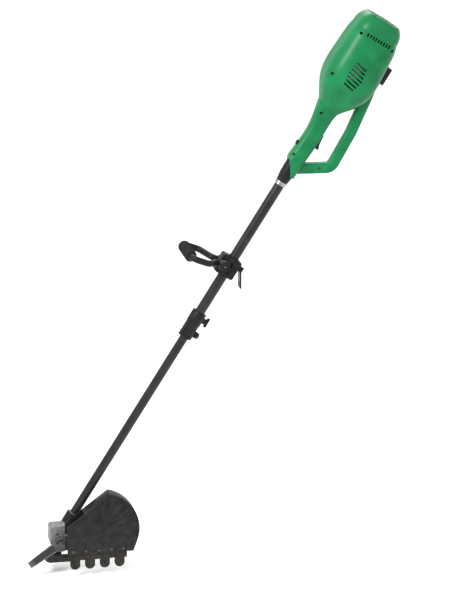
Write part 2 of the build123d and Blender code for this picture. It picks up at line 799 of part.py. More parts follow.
def tool_parts():
    """Every node that lies along the shaft, in the tool frame."""
    body = housing()
    return {
        "housing_left": shell(body, -1),
        "housing_right": shell(body, 1),
        "housing_screws": group(shell_screw_set()),
        "end_cap": end_cap(),
        "end_cap_screws": group(cap_screws()),
        "trigger": trigger(),
        "trigger_spring": trigger_spring(),
        "lock_off_button": lock_button(),
        "power_switch": power_switch(),
        "mains_inlet": mains_inlet(),
        "inlet_pins": group(inlet_pins()),
        "motor_brackets": group([motor_bracket(), rear_cradle()]),
        "stator_core": stator_core(),
        "field_windings": group(field_windings()),
        "rotor_shaft": rotor_shaft(),
        "armature_core": armature_core(),
        "armature_winding": group(armature_winding()),
        "commutator": commutator(),
        "cooling_fan": cooling_fan(),
        "brush_holders": group(brush_holders()),
        "carbon_brushes": group(carbon_brushes()),
        "motor_bearings": group(motor_bearings()),
        "shaft_collar": nose_bore(shaft_nose()),
        "collar_ring": collar_ring(),
        "upper_tube": upper_tube(),
        "upper_drive_shaft": upper_drive_shaft(),
        "drive_bushes": group(drive_bushes()),
        "clamp_front": clamp_ears(clamp_front()),
        "clamp_back": clamp_back(),
        "clamp_screws": group(clamp_screws()),
        "handle_bolt": handle_bolt(),
        "handle_knob": handle_knob(),
        "loop_handle": place_loop(loop_frame()),
        "loop_grip": place_loop(loop_grip()),
        "coupling_body": coupling_body(),
        "coupling_knob": coupling_knob(),
        "lock_plunger": lock_plunger(),
        "plunger_spring": plunger_spring(),
        "lower_tube": lower_tube(),
        "lower_drive_shaft": lower_drive_shaft(),
        "neck_clamp": neck_clamp(),
        "drive_pinion": drive_pinion(),
        "pinion_bearings": group(pinion_bearings()),
    }


def head_parts():
    """Every node that is drawn upright, in the head frame."""
    x, z = strap_place()
    return {
        "strap_eye": Pos(x, 0, z) * strap_eye(),
        "gear_case": gear_case(),
        "gear_cover": gear_cover(),
        "gear_cover_screws": group(cover_screws()),
        "driven_gear": driven_gear(),
        "output_spindle": output_spindle(),
        "spindle_bearings": group(spindle_bearings()),
        "blade_flanges": group(blade_flanges()),
        "edger_blade": edger_blade(),
        "blade_nut": blade_nut(),
        "blade_guard": blade_guard(),
        "head_screws": group(guard_screws() + [to_head(neck_screw())]),
        "debris_flap": debris_flap(),
        "flap_strip": flap_strip(),
        "flap_rivets": group(flap_rivets()),
        "depth_skid": depth_skid(),
        "skid_knob": skid_knob(),
    }


def all_parts():
    parts = {name: to_head(shape) for name, shape in tool_parts().items()}
    parts.update(head_parts())
    return parts


parts = all_parts()
boxes = [shape.bounding_box() for shape in parts.values()]
low = [min(getattr(b.min, a) for b in boxes) for a in "XYZ"]
high = [max(getattr(b.max, a) for b in boxes) for a in "XYZ"]
origin = (-(low[0] + high[0]) / 2, -(low[1] + high[1]) / 2, -low[2])
print("head origin in the row frame", [round(v, 3) for v in origin])
print("size", [round(h - l, 2) for l, h in zip(low, high)])
os.makedirs("parts", exist_ok=True)
for name, shape in parts.items():
    export_step(Pos(*origin) * shape, "parts/" + name + ".step")
print(len(parts), "nodes")
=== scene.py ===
import bpy
import bmesh
import json
import math
from mathutils import Matrix, Vector

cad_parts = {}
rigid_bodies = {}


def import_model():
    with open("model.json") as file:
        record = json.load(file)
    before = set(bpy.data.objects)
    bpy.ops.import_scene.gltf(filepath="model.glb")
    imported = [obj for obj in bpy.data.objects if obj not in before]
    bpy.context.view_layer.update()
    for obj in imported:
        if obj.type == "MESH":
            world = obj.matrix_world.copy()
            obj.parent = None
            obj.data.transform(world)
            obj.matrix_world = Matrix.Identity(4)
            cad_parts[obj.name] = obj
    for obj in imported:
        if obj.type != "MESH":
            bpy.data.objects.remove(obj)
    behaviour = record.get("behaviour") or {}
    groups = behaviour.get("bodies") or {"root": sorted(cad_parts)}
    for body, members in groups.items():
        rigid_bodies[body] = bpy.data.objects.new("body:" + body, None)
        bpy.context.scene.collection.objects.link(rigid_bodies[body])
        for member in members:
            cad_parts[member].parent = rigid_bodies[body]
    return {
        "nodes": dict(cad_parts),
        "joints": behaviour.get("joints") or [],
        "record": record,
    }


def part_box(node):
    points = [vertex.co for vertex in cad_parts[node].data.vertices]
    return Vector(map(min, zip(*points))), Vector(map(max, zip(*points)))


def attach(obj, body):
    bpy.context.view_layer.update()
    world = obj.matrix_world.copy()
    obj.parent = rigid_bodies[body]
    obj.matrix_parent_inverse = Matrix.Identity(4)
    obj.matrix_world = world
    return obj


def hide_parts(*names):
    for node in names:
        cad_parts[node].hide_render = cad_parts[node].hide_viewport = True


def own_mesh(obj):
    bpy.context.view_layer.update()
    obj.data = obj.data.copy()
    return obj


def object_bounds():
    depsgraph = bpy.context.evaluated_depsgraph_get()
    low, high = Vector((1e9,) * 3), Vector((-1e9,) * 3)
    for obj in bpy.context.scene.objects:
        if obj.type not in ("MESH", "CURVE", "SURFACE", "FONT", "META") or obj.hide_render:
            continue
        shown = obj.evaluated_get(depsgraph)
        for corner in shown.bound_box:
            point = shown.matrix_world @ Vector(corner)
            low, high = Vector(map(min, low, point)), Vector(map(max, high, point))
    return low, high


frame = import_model()
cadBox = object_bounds()
print("frame loaded", len(frame["nodes"]), "nodes")

# The tool's own axes, read from its joints: up the shaft, sideways, and the side that faces forwards
joints = {j["name"]: j for j in frame["joints"]}
upShaft = Vector(joints["motor_spin"]["axis"]).normalized()
sideways = Vector((0, 1, 0))
frontSide = upShaft.cross(sideways)
spindle = Vector(joints["motor_spin"]["pos_m"])
shaftFrame = Matrix((upShaft, sideways, frontSide)).transposed().to_4x4()
shaftFrame.translation = spindle
headFrame = Matrix.Translation(spindle)
rootBody = joints["motor_spin"]["parent"]
mm = 0.001
bodyOf = {n: b for b, members in frame["record"]["behaviour"]["bodies"].items() for n in members}
slotOf = {p["node"]: p["material_slot"] for p in frame["record"]["subparts"]}


class Nodes:
    # a short way to write a material's node tree
    def __init__(self, name):
        self.material = bpy.data.materials.new(name)
        self.material.use_nodes = True
        self.tree = self.material.node_tree
        self.shader = self.tree.nodes["Principled BSDF"]

    def add(self, kind, **values):
        node = self.tree.nodes.new("ShaderNode" + kind)
        for key, value in values.items():
            if key in node.inputs.keys():
                self.plug(node.inputs[key], value)
            else:
                setattr(node, key, value)
        return node

    def plug(self, socket, value):
        if isinstance(value, bpy.types.NodeSocket):
            self.tree.links.new(value, socket)
        else:
            socket.default_value = value

    def math(self, operation, *values):
        node = self.tree.nodes.new("ShaderNodeMath")
        node.operation = operation
        for socket, value in zip(node.inputs, values):
            self.plug(socket, value)
        return node.outputs[0]

    def place(self, inShaft=True):
        # where a point is, in millimetres: x up the shaft, y sideways, z forwards
        coords = self.add("TexCoord").outputs["Object"]
        turn = shaftFrame.inverted() if inShaft else headFrame.inverted()
        node = self.add("Mapping")
        self.plug(node.inputs["Vector"], coords)
        node.inputs["Location"].default_value = turn.translation / mm
        node.inputs["Rotation"].default_value = turn.to_euler()
        node.inputs["Scale"].default_value = (1 / mm, 1 / mm, 1 / mm)
        return node.outputs["Vector"]

    def noise(self, where, scale, detail=3.0, rough=0.5):
        node = self.add("TexNoise")
        self.plug(node.inputs["Vector"], where)
        node.inputs["Scale"].default_value = scale
        node.inputs["Detail"].default_value = detail
        node.inputs["Roughness"].default_value = rough
        return node.outputs["Fac"]

    def ramp(self, value, stops):
        node = self.add("ValToRGB")
        self.plug(node.inputs["Fac"], value)
        while len(node.color_ramp.elements) < len(stops):
            node.color_ramp.elements.new(0.5)
        for element, (at, colour) in zip(node.color_ramp.elements, stops):
            element.position = at
            element.color = (*colour, 1)
        return node.outputs["Color"]

    def mix(self, share, one, other):
        node = self.add("Mix", data_type="RGBA")
        self.plug(node.inputs[0], share)
        for socket, value in ((node.inputs[6], one), (node.inputs[7], other)):
            self.plug(socket, (*value, 1) if isinstance(value, tuple) else value)
        return node.outputs[2]

    def spread(self, value, low, high, fromLow=0.0, fromHigh=1.0):
        node = self.add("MapRange")
        for socket, v in zip(node.inputs[:5], (value, fromLow, fromHigh, low, high)):
            self.plug(socket, v)
        return node.outputs[0]

    def bump(self, heights, rounding=0.0):
        # heights is a list of (pattern, depth in millimetres); rounding softens hard corners, in metres
        normal = None
        if rounding:
            bevel = self.add("Bevel")
            bevel.samples = 4
            bevel.inputs["Radius"].default_value = rounding
            normal = bevel.outputs["Normal"]
        for height, distance in heights:
            node = self.add("Bump")
            node.inputs["Distance"].default_value = distance * mm
            self.plug(node.inputs["Height"], height)
            if normal is not None:
                self.plug(node.inputs["Normal"], normal)
            normal = node.outputs["Normal"]
        self.plug(self.shader.inputs["Normal"], normal)

    def worn(self):
        # one along convex edges, nothing on flats
        edge = self.add("NewGeometry").outputs["Pointiness"]
        return self.spread(edge, 0.0, 1.0, 0.548, 0.62)

    def done(self, colour, rough, metallic=0.0, specular=0.5, coat=0.0):
        self.plug(self.shader.inputs["Base Color"], colour)
        self.plug(self.shader.inputs["Roughness"], rough)
        if metallic is not None:
            self.shader.inputs["Metallic"].default_value = metallic
        self.shader.inputs["Specular IOR Level"].default_value = specular
        self.shader.inputs["Coat Weight"].default_value = coat
        return self.material


greenPlastic = {"deep": (0.0012, 0.112, 0.034), "pale": (0.004, 0.176, 0.058), "scuff": (0.05, 0.28, 0.13),
                "mottle": (0.005, 0.152, 0.048), "seam": (0.004, 0.06, 0.02), "seamHalf": 0.7,
                "rough": (0.30, 0.46), "grainMm": 0.06, "pebbleMm": 0.05, "seamMm": 0.5, "rounding": 0.0009}


def makeGreen():
    # moulded shells: even colour with faint flow marks, spark-eroded grain, handled places duller
    g = greenPlastic
    n = Nodes("greenPlastic")
    at = n.place()
    flow = n.noise(at, 0.02, 4)
    mottle = n.noise(at, 0.16, 3)
    grain = n.noise(at, 2.2, 2, 0.6)
    pebble = n.add("TexVoronoi", Scale=1.1)
    n.plug(pebble.inputs["Vector"], at)
    base = n.ramp(n.spread(flow, 0, 1, 0.3, 0.7), [(0, g["deep"]), (1, g["pale"])])
    base = n.mix(n.spread(mottle, 0.0, 0.16, 0.5, 0.75), base, g["mottle"])
    edge = n.math("MULTIPLY", n.worn(), n.spread(mottle, 0.1, 0.9, 0.4, 0.65))
    base = n.mix(n.math("MULTIPLY", edge, 0.35), base, g["scuff"])
    scratch = n.noise(n.add("Mapping", Vector=at, Scale=(0.05, 2.6, 2.6)).outputs[0], 0.8, 5, 0.7)
    marks = n.spread(scratch, 0, 1, 0.66, 0.74)
    rough = n.math("ADD", n.spread(grain, *g["rough"]), n.math("MULTIPLY", marks, 0.08))
    # the two shells meet in a fine groove
    side = n.add("SeparateXYZ", Vector=at).outputs["Y"]
    seam = n.math("SMOOTH_MIN", n.math("ABSOLUTE", side), g["seamHalf"], 0.2)
    base = n.mix(n.spread(seam, 0.75, 0.0, 0.0, 0.5), base, g["seam"])
    heights = [(seam, g["seamMm"]), (grain, g["grainMm"]), (pebble.outputs["Distance"], g["pebbleMm"])]
    n.bump(heights, g["rounding"])
    return n.done(base, rough, specular=0.18, coat=0.03)


drySoil = (0.14, 0.115, 0.085)


def makeBlack(name, deep, pale, scuff, rough, grain, grainMm, dust=0.0, inShaft=True):
    # moulded or rubbery plastic, with a grain and scuffed corners; dust settles low on the edging head
    n = Nodes(name)
    at = n.place(inShaft)
    cloud = n.noise(at, 0.05, 4)
    fine = n.noise(at, grain, 2, 0.6)
    pebble = n.add("TexVoronoi", Scale=grain * 0.45)
    n.plug(pebble.inputs["Vector"], at)
    base = n.ramp(n.spread(cloud, 0, 1, 0.3, 0.7), [(0, deep), (1, pale)])
    chips = n.math("MULTIPLY", n.worn(), n.spread(n.noise(at, 0.4, 4), 0.0, 1.0, 0.42, 0.6))
    base = n.mix(n.math("MULTIPLY", chips, 0.3), base, scuff)
    if dust:
        low = n.add("SeparateXYZ", Vector=at).outputs["Z"]
        patches = n.spread(n.noise(at, 0.12, 5, 0.7), 0, 1, 0.4, 0.7)
        film = n.math("MULTIPLY", n.spread(low, dust, 0.0, -70.0, 60.0), patches)
        base = n.mix(film, base, drySoil)
    n.bump([(fine, grainMm), (pebble.outputs["Distance"], grainMm)], 0.0006)
    return n.done(base, n.spread(fine, rough - 0.08, rough + 0.1), specular=0.16)


def makeMetal(name, dark, light, rough, streak, grainMm, metallic=1.0, alongShaft=True, inShaft=True):
    # plated, ground or cast metal: streaks from its making, small pits, dull smears
    n = Nodes(name)
    at = n.place(inShaft)
    stretch = (0.06, 1, 1) if alongShaft else (1, 0.08, 1)
    lines = n.noise(n.add("Mapping", Vector=at, Scale=stretch).outputs[0], streak, 4, 0.6)
    smear = n.noise(at, 0.09, 4)
    pit = n.noise(at, 1.6, 3, 0.65)
    base = n.ramp(n.spread(smear, 0, 1, 0.3, 0.7), [(0, dark), (1, light)])
    base = n.mix(n.spread(lines, 0.0, 0.35, 0.35, 0.7), base, tuple(c * 0.6 for c in dark))
    n.bump([(lines, grainMm), (pit, grainMm)], 0.0004)
    return n.done(base, n.spread(smear, rough - 0.07, rough + 0.1), metallic=metallic)


def makeTube():
    # satin powder coat with orange peel and long handling scratches
    n = Nodes("tubeCoat")
    at = n.place()
    peel = n.noise(at, 0.9, 2, 0.5)
    cloud = n.noise(at, 0.03, 4)
    scratch = n.noise(n.add("Mapping", Vector=at, Scale=(0.02, 1.5, 1.5)).outputs[0], 1.4, 5, 0.7)
    marks = n.math("MULTIPLY", n.spread(scratch, 0, 1, 0.62, 0.68), n.spread(cloud, 0, 1, 0.45, 0.6))
    base = n.ramp(n.spread(cloud, 0, 1, 0.3, 0.7), [(0, (0.005, 0.005, 0.006)), (1, (0.014, 0.014, 0.016))])
    base = n.mix(n.math("MULTIPLY", marks, 0.35), base, (0.13, 0.13, 0.135))
    n.bump([(peel, 0.05), (scratch, 0.02)], 0.0004)
    return n.done(base, n.spread(peel, 0.24, 0.38), specular=0.3, coat=0.03)


def makeWire(name, dark, light, pitch):
    # windings and stacked sheets: fine bands across the shaft
    n = Nodes(name)
    at = n.place()
    along = n.add("SeparateXYZ", Vector=at).outputs["X"]
    band = n.math("PINGPONG", along, pitch)
    base = n.ramp(n.math("DIVIDE", band, pitch), [(0, dark), (0.6, light)])
    base = n.mix(n.spread(n.noise(at, 0.3, 3), 0, 0.4, 0.4, 0.7), base, dark)
    n.bump([(band, 0.4)])
    return n.done(base, n.spread(n.noise(at, 1.0), 0.3, 0.5), metallic=0.85)


# Colours from deep to pale, then of scuffed edges; grain is the pattern's scale, grainMm its depth
blacks = {
    "blackPlastic": {"deep": (0.004, 0.004, 0.0045), "pale": (0.012, 0.012, 0.013),
                     "scuff": (0.09, 0.09, 0.093), "rough": 0.42, "grain": 2.0, "grainMm": 0.06},
    "blackRubber": {"deep": (0.007, 0.007, 0.007), "pale": (0.016, 0.0155, 0.015),
                    "scuff": (0.05, 0.05, 0.05), "rough": 0.62, "grain": 1.2, "grainMm": 0.10},
    "blackSteel": {"deep": (0.008, 0.008, 0.009), "pale": (0.018, 0.018, 0.02),
                   "scuff": (0.20, 0.20, 0.21), "rough": 0.34, "grain": 0.8, "grainMm": 0.04,
                   "dust": 0.25, "inShaft": False},
    "carbon": {"deep": (0.02, 0.02, 0.02), "pale": (0.05, 0.05, 0.05),
               "scuff": (0.1, 0.1, 0.1), "rough": 0.5, "grain": 2.5, "grainMm": 0.03},
    "whitePlastic": {"deep": (0.55, 0.54, 0.51), "pale": (0.68, 0.67, 0.64),
                     "scuff": (0.8, 0.8, 0.78), "rough": 0.4, "grain": 1.4, "grainMm": 0.03},
    "guardPlastic": {"deep": (0.005, 0.005, 0.0055), "pale": (0.016, 0.016, 0.017),
                     "scuff": (0.07, 0.07, 0.072), "rough": 0.42, "grain": 1.6, "grainMm": 0.07,
                     "dust": 0.25, "inShaft": False},
    "flapRubber": {"deep": (0.007, 0.007, 0.007), "pale": (0.017, 0.0165, 0.016),
                   "scuff": (0.05, 0.05, 0.05), "rough": 0.62, "grain": 1.0, "grainMm": 0.10,
                   "dust": 0.3, "inShaft": False},
}
metals = {
    "zincSteel": {"dark": (0.50, 0.50, 0.52), "light": (0.68, 0.68, 0.70), "rough": 0.28, "streak": 1.6,
                  "grainMm": 0.012},
    "groundSteel": {"dark": (0.42, 0.42, 0.44), "light": (0.62, 0.62, 0.64), "rough": 0.24, "streak": 2.4,
                    "grainMm": 0.01},
    "castAlloy": {"dark": (0.12, 0.123, 0.125), "light": (0.21, 0.213, 0.215), "rough": 0.5, "streak": 0.35,
                  "grainMm": 0.06, "metallic": 0.35, "alongShaft": False, "inShaft": False},
    "brassPlain": {"dark": (0.55, 0.38, 0.14), "light": (0.75, 0.56, 0.24), "rough": 0.26, "streak": 1.8,
                   "grainMm": 0.01},
    "collarSilver": {"dark": (0.30, 0.315, 0.31), "light": (0.42, 0.435, 0.43), "rough": 0.3, "streak": 1.6,
                     "grainMm": 0.012},
    "darkZinc": {"dark": (0.045, 0.045, 0.048), "light": (0.11, 0.11, 0.115), "rough": 0.36, "streak": 1.6,
                 "grainMm": 0.012, "metallic": 0.8},
}
look = {name: makeBlack(name, **values) for name, values in blacks.items()}
look.update({name: makeMetal(name, **values) for name, values in metals.items()})
look["greenPlastic"] = makeGreen()
look["tubeCoat"] = makeTube()
look["copperWire"] = makeWire("copperWire", (0.20, 0.05, 0.02), (0.66, 0.26, 0.10), 0.45)
look["lamination"] = makeWire("lamination", (0.10, 0.10, 0.11), (0.42, 0.42, 0.44), 0.5)

# The material of each slot in the record
finish = {"green_plastic": look["greenPlastic"], "black_plastic": look["blackPlastic"],
          "black_rubber": look["blackRubber"], "black_tube": look["tubeCoat"],
          "black_steel": look["blackSteel"], "zinc_steel": look["zincSteel"],
          "ground_steel": look["groundSteel"], "cast_alloy": look["castAlloy"],
          "copper_wire": look["copperWire"], "carbon": look["carbon"], "brass": look["brassPlain"],
          "lamination": look["lamination"], "white_plastic": look["whitePlastic"]}
guardPlastic = look["guardPlastic"]
flapRubber = look["flapRubber"]
darkZinc = look["darkZinc"]
collarSilver = look["collarSilver"]
bladeLook = {"angle": 32.0, "deep": (0.010, 0.010, 0.011), "pale": (0.026, 0.025, 0.026),
             "bareDark": (0.10, 0.10, 0.105), "bareLight": (0.24, 0.24, 0.25), "edgeFrom": 8.4, "edgeTo": 8.9,
             "tipFrom": 88.0, "tipTo": 104.0, "tipWander": 24.0}


def makeBlade():
    # blackened spring steel with bright ground edges and a scoured tip
    b = bladeLook
    n = Nodes("bladeSteel")
    at = n.place(False)
    flat = n.add("Mapping", Vector=at, Rotation=(0, math.radians(b["angle"]), 0)).outputs[0]
    parts = n.add("SeparateXYZ", Vector=flat).outputs
    cloud = n.noise(at, 0.07, 5, 0.65)
    lines = n.noise(n.add("Mapping", Vector=flat, Scale=(1.8, 1, 0.08)).outputs[0], 1.2, 4, 0.6)
    edge = n.spread(n.math("ABSOLUTE", parts["Z"]), 0, 1, b["edgeFrom"], b["edgeTo"])
    reach = n.math("ADD", n.math("ABSOLUTE", parts["X"]), n.math("MULTIPLY", cloud, b["tipWander"]))
    tip = n.spread(reach, 0, 0.6, b["tipFrom"], b["tipTo"])
    bare = n.math("MAXIMUM", n.math("MULTIPLY", edge, n.spread(cloud, 0.5, 1.0, 0.4, 0.6)), tip)
    base = n.mix(cloud, b["deep"], b["pale"])
    base = n.mix(bare, base, n.ramp(lines, [(0.3, b["bareDark"]), (0.7, b["bareLight"])]))
    n.bump([(lines, 0.02), (cloud, 0.05)], 0.0003)
    n.plug(n.shader.inputs["Metallic"], n.math("MULTIPLY", bare, 0.9))
    return n.done(base, n.spread(cloud, 0.32, 0.5), metallic=None, specular=0.3)


# Nodes that look different from the rest of their slot
special = {"blade_guard": guardPlastic, "debris_flap": flapRubber, "edger_blade": makeBlade()}
darkFasteners = ("housing_screws", "end_cap_screws", "clamp_screws", "handle_bolt", "head_screws",
                 "gear_cover_screws", "blade_nut", "blade_flanges", "flap_rivets", "lock_plunger")
for name in darkFasteners:
    special[name] = darkZinc
print("materials made", len(finish) + len(special))


def paint(obj, material):
    obj.data.materials.clear()
    obj.data.materials.append(material)


def keepPiece(mesh, name, material, body, slot, *replaced):
    # a finished piece, named, painted, riding on its body
    obj = bpy.data.objects.new(name, mesh)
    bpy.context.scene.collection.objects.link(obj)
    paint(obj, material)
    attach(obj, body)
    if replaced:
        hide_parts(*replaced)
    return obj


for name, node in frame["nodes"].items():
    paint(node, special.get(name, finish[slotOf[name]]))


def toolPoint(x, y, z):
    # a point given in millimetres up the shaft, sideways and forwards
    return shaftFrame @ Vector((x * mm, y * mm, z * mm))


def headPoint(x, y, z):
    return spindle + Vector((x, y, z)) * mm


def joinedCopy(name):
    # the CAD node's shape as a new mesh whose triangles share their points
    bm = bmesh.new()
    bm.from_mesh(frame["nodes"][name].data)
    bmesh.ops.remove_doubles(bm, verts=bm.verts, dist=2e-6)
    bmesh.ops.dissolve_limit(bm, angle_limit=math.radians(0.6), verts=bm.verts, edges=bm.edges)
    mesh = bpy.data.meshes.new(name + "Joined")
    bm.to_mesh(mesh)
    bm.free()
    return mesh


def finished(obj):
    # what the modifiers make of an object, as a plain mesh
    result = bpy.data.meshes.new_from_object(obj.evaluated_get(bpy.context.evaluated_depsgraph_get()))
    bpy.data.objects.remove(obj)
    return result


creaseAngle = 34


def smoothed(mesh, angle=creaseAngle):
    for face in mesh.polygons:
        face.use_smooth = True
    mesh.set_sharp_from_angle(angle=math.radians(angle))
    return mesh


def softened(name, width):
    # the CAD shape with its hard edges rounded off
    obj = bpy.data.objects.new(name + "Soft", joinedCopy(name))
    bpy.context.scene.collection.objects.link(obj)
    bevel = obj.modifiers.new("edges", "BEVEL")
    bevel.width = width * mm
    bevel.segments = 2
    bevel.limit_method = "ANGLE"
    bevel.angle_limit = math.radians(creaseAngle)
    bevel.use_clamp_overlap = True
    return smoothed(finished(obj))


# Nodes whose edges are rounded in the mesh, with the radius in millimetres
softEdges = {"blade_guard": 1.0, "debris_flap": 0.5, "gear_case": 1.3, "gear_cover": 0.7, "neck_clamp": 0.6,
             "edger_blade": 0.4, "blade_nut": 0.6, "depth_skid": 0.6, "skid_knob": 1.0, "clamp_front": 1.0,
             "clamp_back": 1.0, "handle_knob": 1.2, "strap_eye": 0.6, "coupling_body": 0.9,
             "coupling_knob": 0.8, "trigger": 1.0, "mains_inlet": 0.8, "lock_off_button": 0.8,
             "lock_plunger": 0.5, "loop_handle": 0.6}

for name, width in softEdges.items():
    material = special.get(name, finish[slotOf[name]])
    keepPiece(softened(name, width), name + "Soft", material, bodyOf[name], slotOf[name], name)
print("edges softened", len(softEdges))


class Grower:
    # a geometry tree with named sizes, run once and turned into a plain mesh
    def __init__(self, name, sizes):
        self.tree = bpy.data.node_groups.new(name, "GeometryNodeTree")
        self.sizes = sizes
        side = self.tree.interface
        side.new_socket("Geometry", in_out="INPUT", socket_type="NodeSocketGeometry")
        side.new_socket("Geometry", in_out="OUTPUT", socket_type="NodeSocketGeometry")
        self.ids = {}
        for key, value in sizes.items():
            kind = "NodeSocketInt" if isinstance(value, int) else "NodeSocketFloat"
            self.ids[key] = side.new_socket(key, in_out="INPUT", socket_type=kind).identifier
        self.given = self.tree.nodes.new("NodeGroupInput").outputs

    def add(self, kind, plugs=(), **values):
        node = self.tree.nodes.new(kind)
        for key, value in values.items():
            setattr(node, key, value)
        for socket, value in dict(plugs).items():
            target = node.inputs[socket]
            if isinstance(value, bpy.types.NodeSocket):
                self.tree.links.new(value, target)
            else:
                target.default_value = value
        return node.outputs

    def math(self, operation, *values):
        return self.add("ShaderNodeMath", dict(enumerate(values)), operation=operation)[0]

    def vector(self, x=0.0, y=0.0, z=0.0):
        return self.add("ShaderNodeCombineXYZ", {"X": x, "Y": y, "Z": z})[0]

    def grow(self, shape, material, place, name):
        real = self.add("GeometryNodeRealizeInstances", {"Geometry": shape})[0]
        painted = self.add("GeometryNodeSetMaterial", {"Geometry": real, "Material": material})[0]
        out = self.tree.nodes.new("NodeGroupOutput")
        self.tree.links.new(painted, out.inputs[0])
        obj = bpy.data.objects.new(name, bpy.data.meshes.new(name + "Seed"))
        bpy.context.scene.collection.objects.link(obj)
        run = obj.modifiers.new("grow", "NODES")
        run.node_group = self.tree
        for key, value in self.sizes.items():
            run[self.ids[key]] = value
        mesh = finished(obj)
        mesh.transform(place)
        return smoothed(mesh, 40)


def placed(at, along, across=None):
    # a frame whose Z runs along and whose X runs across
    z = Vector(along).normalized()
    x = Vector(across or (z.orthogonal())).normalized()
    y = z.cross(x).normalized()
    place = Matrix((y.cross(z), y, z)).transposed().to_4x4()
    place.translation = at
    return place


def ringRow(name, material, place, count, pitch, radius, thick):
    # equal rings in a row
    g = Grower(name, {"count": count, "pitch": pitch * mm, "radius": radius * mm, "thick": thick * mm})
    step = g.vector(z=g.given["pitch"])
    line = g.add("GeometryNodeMeshLine", {"Count": g.given["count"], "Offset": step})[0]
    path = g.add("GeometryNodeCurvePrimitiveCircle", {"Resolution": 48, "Radius": g.given["radius"]})[0]
    section = g.add("GeometryNodeCurvePrimitiveCircle", {"Resolution": 10, "Radius": g.given["thick"]})[0]
    ring = g.add("GeometryNodeCurveToMesh", {"Curve": path, "Profile Curve": section})[0]
    rings = g.add("GeometryNodeInstanceOnPoints", {"Points": line, "Instance": ring})[0]
    return g.grow(rings, material, place, name)


def coil(name, material, place, turns, radius, height, wire):
    # a wound wire, for springs and thread crests
    sizes = {"turns": float(turns), "radius": radius * mm, "height": height * mm, "wire": wire * mm}
    g = Grower(name, sizes)
    shape = {"Resolution": 28, "Rotations": g.given["turns"], "Start Radius": g.given["radius"],
             "End Radius": g.given["radius"], "Height": g.given["height"]}
    path = g.add("GeometryNodeCurveSpiral", shape)[0]
    section = g.add("GeometryNodeCurvePrimitiveCircle", {"Resolution": 8, "Radius": g.given["wire"]})[0]
    solid = {"Curve": path, "Profile Curve": section, "Fill Caps": True}
    wound = g.add("GeometryNodeCurveToMesh", solid)[0]
    return g.grow(wound, material, place, name)


def spokes(name, material, place, count, first, step, radius, length, width, height):
    # rounded bars that stand round a centre; angles are in degrees
    sizes = {"count": count, "first": math.radians(first), "step": math.radians(step), "radius": radius * mm,
             "length": length * mm, "width": width * mm, "height": height * mm}
    g = Grower(name, sizes)
    line = g.add("GeometryNodeMeshLine", {"Count": g.given["count"]})[0]
    turn = g.math("MULTIPLY_ADD", g.add("GeometryNodeInputIndex")[0], g.given["step"], g.given["first"])
    x = g.math("MULTIPLY", g.math("COSINE", turn), g.given["radius"])
    y = g.math("MULTIPLY", g.math("SINE", turn), g.given["radius"])
    spots = g.add("GeometryNodeSetPosition", {"Geometry": line, "Position": g.vector(x, y)})[0]
    bar = g.add("GeometryNodeMeshCylinder", {"Vertices": 12, "Radius": 0.5, "Depth": 1.0})[0]
    bar = g.add("GeometryNodeTransform", {"Geometry": bar, "Rotation": (0, math.pi / 2, 0)})[0]
    size = g.vector(g.given["length"], g.given["width"], g.given["height"])
    copies = {"Points": spots, "Instance": bar, "Rotation": g.vector(z=turn), "Scale": size}
    bars = g.add("GeometryNodeInstanceOnPoints", copies)[0]
    return g.grow(bars, material, place, name)


def wireGrid(name, material, place, countX, countY, pitch, wire):
    # crossed wires, for the dust screen behind the vents
    g = Grower(name, {"countX": countX, "countY": countY, "pitch": pitch * mm, "wire": wire * mm})
    wide = g.math("MULTIPLY", g.math("SUBTRACT", g.given["countX"], 1), g.given["pitch"])
    tall = g.math("MULTIPLY", g.math("SUBTRACT", g.given["countY"], 1), g.given["pitch"])
    net = g.add("GeometryNodeMeshGrid", {"Size X": wide, "Size Y": tall, "Vertices X": g.given["countX"],
                "Vertices Y": g.given["countY"]})[0]
    lines = g.add("GeometryNodeMeshToCurve", {"Mesh": net})[0]
    section = g.add("GeometryNodeCurvePrimitiveCircle", {"Resolution": 5, "Radius": g.given["wire"]})[0]
    screen = g.add("GeometryNodeCurveToMesh", {"Curve": lines, "Profile Curve": section})[0]
    return g.grow(screen, material, place, name)


def turned(name, place, profile, steps=64):
    # a round piece from (height, radius) corners in millimetres, about the frame's Z
    bm = bmesh.new()
    angles = [2 * math.pi * i / steps for i in range(steps)]
    rows = [[bm.verts.new((r * mm * math.cos(a), r * mm * math.sin(a), z * mm)) for a in angles]
            for z, r in profile]
    for low, high in zip(rows, rows[1:] + rows[:1]):
        for i in range(steps):
            bm.faces.new((low[i], low[i - 1], high[i - 1], high[i]))
    bmesh.ops.recalc_face_normals(bm, faces=bm.faces)
    mesh = bpy.data.meshes.new(name)
    bm.to_mesh(mesh)
    bm.free()
    mesh.transform(place)
    return smoothed(mesh)


def bead(name, path, radius):
    # a round bead along an open path of points
    curve = bpy.data.curves.new(name, "CURVE")
    curve.dimensions = "3D"
    curve.bevel_depth = radius * mm
    curve.bevel_resolution = 2
    curve.use_fill_caps = True
    spline = curve.splines.new("POLY")
    spline.points.add(len(path) - 1)
    for point, at in zip(spline.points, path):
        point.co = (*at, 1)
    obj = bpy.data.objects.new(name, curve)
    bpy.context.scene.collection.objects.link(obj)
    return smoothed(finished(obj), 50)


barAcross = (Vector(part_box("loop_grip")[0]) + Vector(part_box("loop_grip")[1])) / 2
gripSleeve = {"half": 42.0, "inner": 8.05, "outer": 14.2, "ribs": 19, "pitch": 4.2, "ribRadius": 14.15,
              "ribThick": 0.85}


